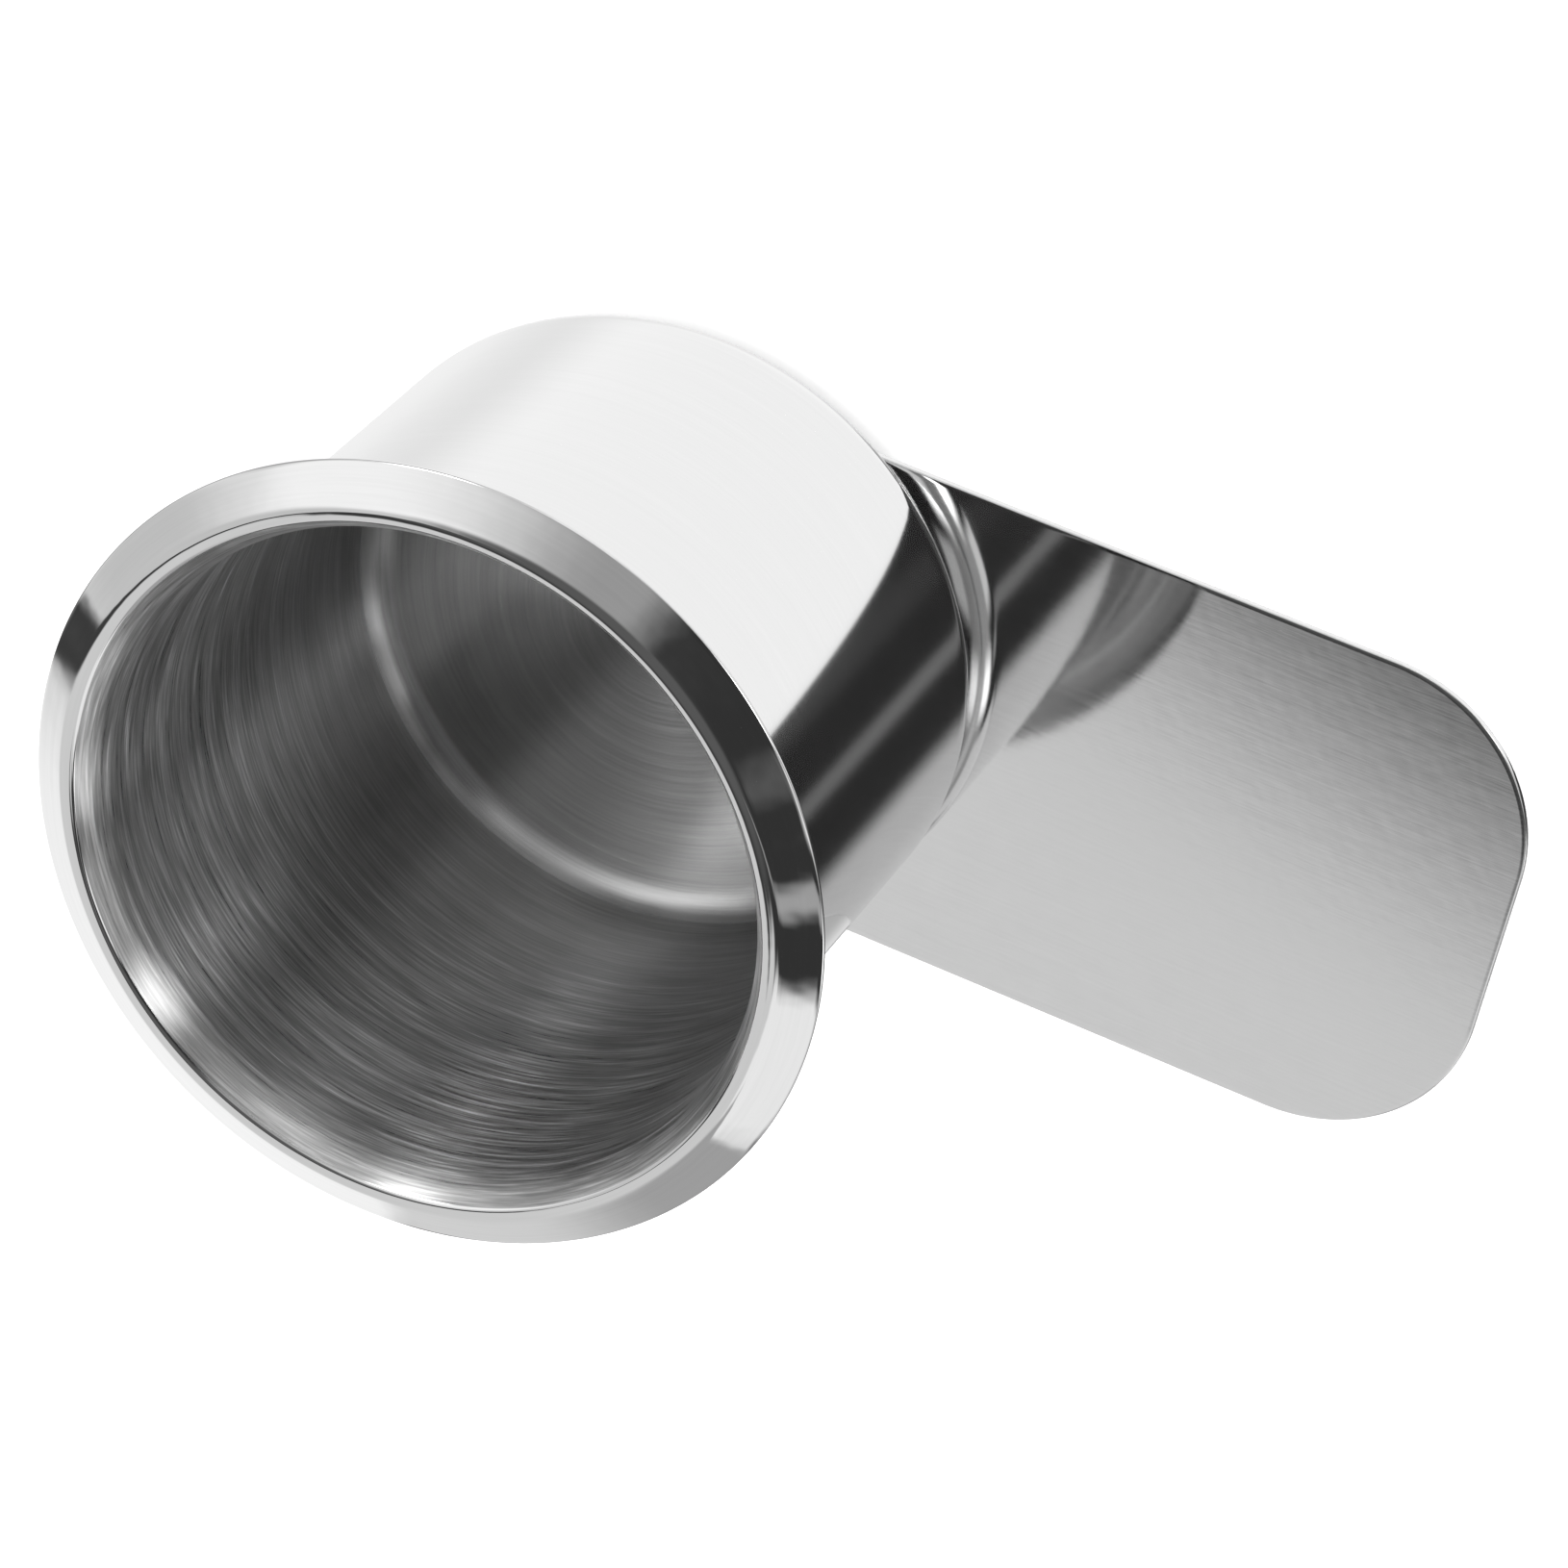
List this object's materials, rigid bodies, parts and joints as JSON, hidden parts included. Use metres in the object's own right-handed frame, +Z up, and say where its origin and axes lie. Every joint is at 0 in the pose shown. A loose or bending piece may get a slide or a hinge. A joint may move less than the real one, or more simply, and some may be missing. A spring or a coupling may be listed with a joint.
{
  "type": "slide-under cup holder",
  "caption": "Round steel cup with a drooping polished flange, spot-welded on a flat tongue that slides under a top or cushion.",
  "frame": {"origin": "on the cup's axis, at the underside of the tongue", "axes": "+Z up the cup's axis, out of its mouth; +X along the tongue, towards its free end"},
  "size_m": [0.1431, 0.089, 0.0643],
  "materials": {
    "cup_steel": "mirror-polished flange, fine satin outside wall, coarse circular brushing inside",
    "tongue_steel": "fine satin, brushed along its length",
    "weld_steel": "fused steel, hidden between the sheets"
  },
  "bodies": {
    "root": {"cup": "cup_steel", "tongue_plate": "tongue_steel", "spot_welds": "weld_steel"}
  },
  "joints": []
}
